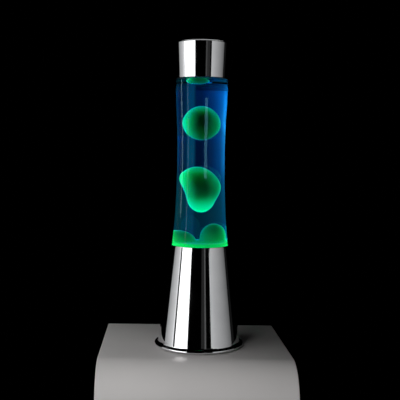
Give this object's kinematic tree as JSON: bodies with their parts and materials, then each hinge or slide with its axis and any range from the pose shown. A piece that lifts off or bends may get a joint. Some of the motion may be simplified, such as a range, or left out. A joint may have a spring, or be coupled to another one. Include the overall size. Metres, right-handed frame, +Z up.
{
  "type": "lava lamp",
  "caption": "Lava lamp: a conical chrome base, a waisted glass bottle of blue liquid with green wax that lifts out of it, and a chrome cap over the bottle's neck.",
  "frame": {"origin": "on the table, at the middle of the base's foot", "axes": "+Z up along the lamp's axis; -Y to the front, where the large lobe of the wax pool is to the right; the cord's inlet is at +Y"},
  "size_m": [0.117, 0.117, 0.395],
  "materials": {
    "chrome": "polished",
    "steel": "zinc plated",
    "black_plastic": "moulded, fine grain",
    "rubber": "matt",
    "felt": "soft felt",
    "phenolic": "moulded phenolic",
    "brass": "bare",
    "nickel": "nickel plated",
    "solder": "soldered",
    "black_glass": "vitrite",
    "block_plastic": "translucent nylon",
    "brown_pvc": "smooth",
    "blue_pvc": "smooth",
    "bulb_glass": "clear face, silvered reflector",
    "tungsten": "drawn wire",
    "bottle_glass": "clear",
    "liquid": null,
    "wax": "soft translucent wax",
    "crown_gold": "lacquered tinplate",
    "liner_rubber": "smooth"
  },
  "bodies": {
    "base": {"base_shell": "chrome", "fixing_lugs": "steel", "bottom_plate": "black_plastic", "plate_screws": "steel", "rubber_feet": "rubber", "bottle_seat": "black_plastic", "seat_pads": "felt", "cable_bush": "black_plastic", "socket_bracket": "steel", "bracket_rivets": "steel", "socket_nipple": "steel", "socket_nut": "steel", "socket_body": "phenolic", "socket_skirt": "phenolic", "socket_sleeve": "brass", "socket_contact": "brass", "terminal_block": "block_plastic", "terminal_tubes": "brass", "terminal_screws": "steel", "terminal_bolt": "steel", "live_lead": "brown_pvc", "neutral_lead": "blue_pvc"},
    "bulb_tip": {"bulb_contact_tip": "solder"},
    "bulb": {"bulb_insulator": "black_glass", "bulb_screw_shell": "nickel", "bulb_glass": "bulb_glass", "bulb_stem": "bulb_glass", "bulb_filament": "tungsten"},
    "bottle": {"bottle": "bottle_glass", "liquid": "liquid", "wax_pool": "wax", "heat_coil": "steel", "crown_cork": "crown_gold", "crown_liner": "liner_rubber"},
    "upper_wax": {"wax_upper": "wax"},
    "middle_wax": {"wax_middle": "wax"},
    "top_wax": {"wax_top": "wax"},
    "cap": {"cap_shell": "chrome", "cap_liner": "black_plastic"}
  },
  "joints": [
    {"name": "bottle_lift", "type": "slide", "parent": "base", "child": "bottle", "axis": [0, 0, 1], "range_m": [0, 0.15], "deforming": ["liquid"]},
    {"name": "cap_lift", "type": "slide", "parent": "bottle", "child": "cap", "axis": [0, 0, 1], "range_m": [0, 0.06]},
    {"name": "bulb_rise", "type": "slide", "parent": "base", "child": "bulb_tip", "axis": [0, 0, 1], "range_m": [0, 0.0142]},
    {"name": "bulb_turn", "type": "hinge", "parent": "bulb_tip", "child": "bulb", "pos_m": [0, 0, 0.06], "axis": [0, 0, 1], "range_deg": [0, 1800]},
    {"name": "upper_wax_drift", "type": "slide", "parent": "bottle", "child": "upper_wax", "axis": [0, 0, 1], "range_m": [-0.016, 0.018]},
    {"name": "middle_wax_drift", "type": "slide", "parent": "bottle", "child": "middle_wax", "axis": [0, 0, 1], "range_m": [-0.013, 0.016]},
    {"name": "top_wax_drift", "type": "slide", "parent": "bottle", "child": "top_wax", "axis": [0, 0, 1], "range_m": [-0.01, 0]}
  ],
  "couplings": [
    {"joint": "bulb_rise", "follows": "bulb_turn", "m_per_rad": 0.00044913}
  ]
}
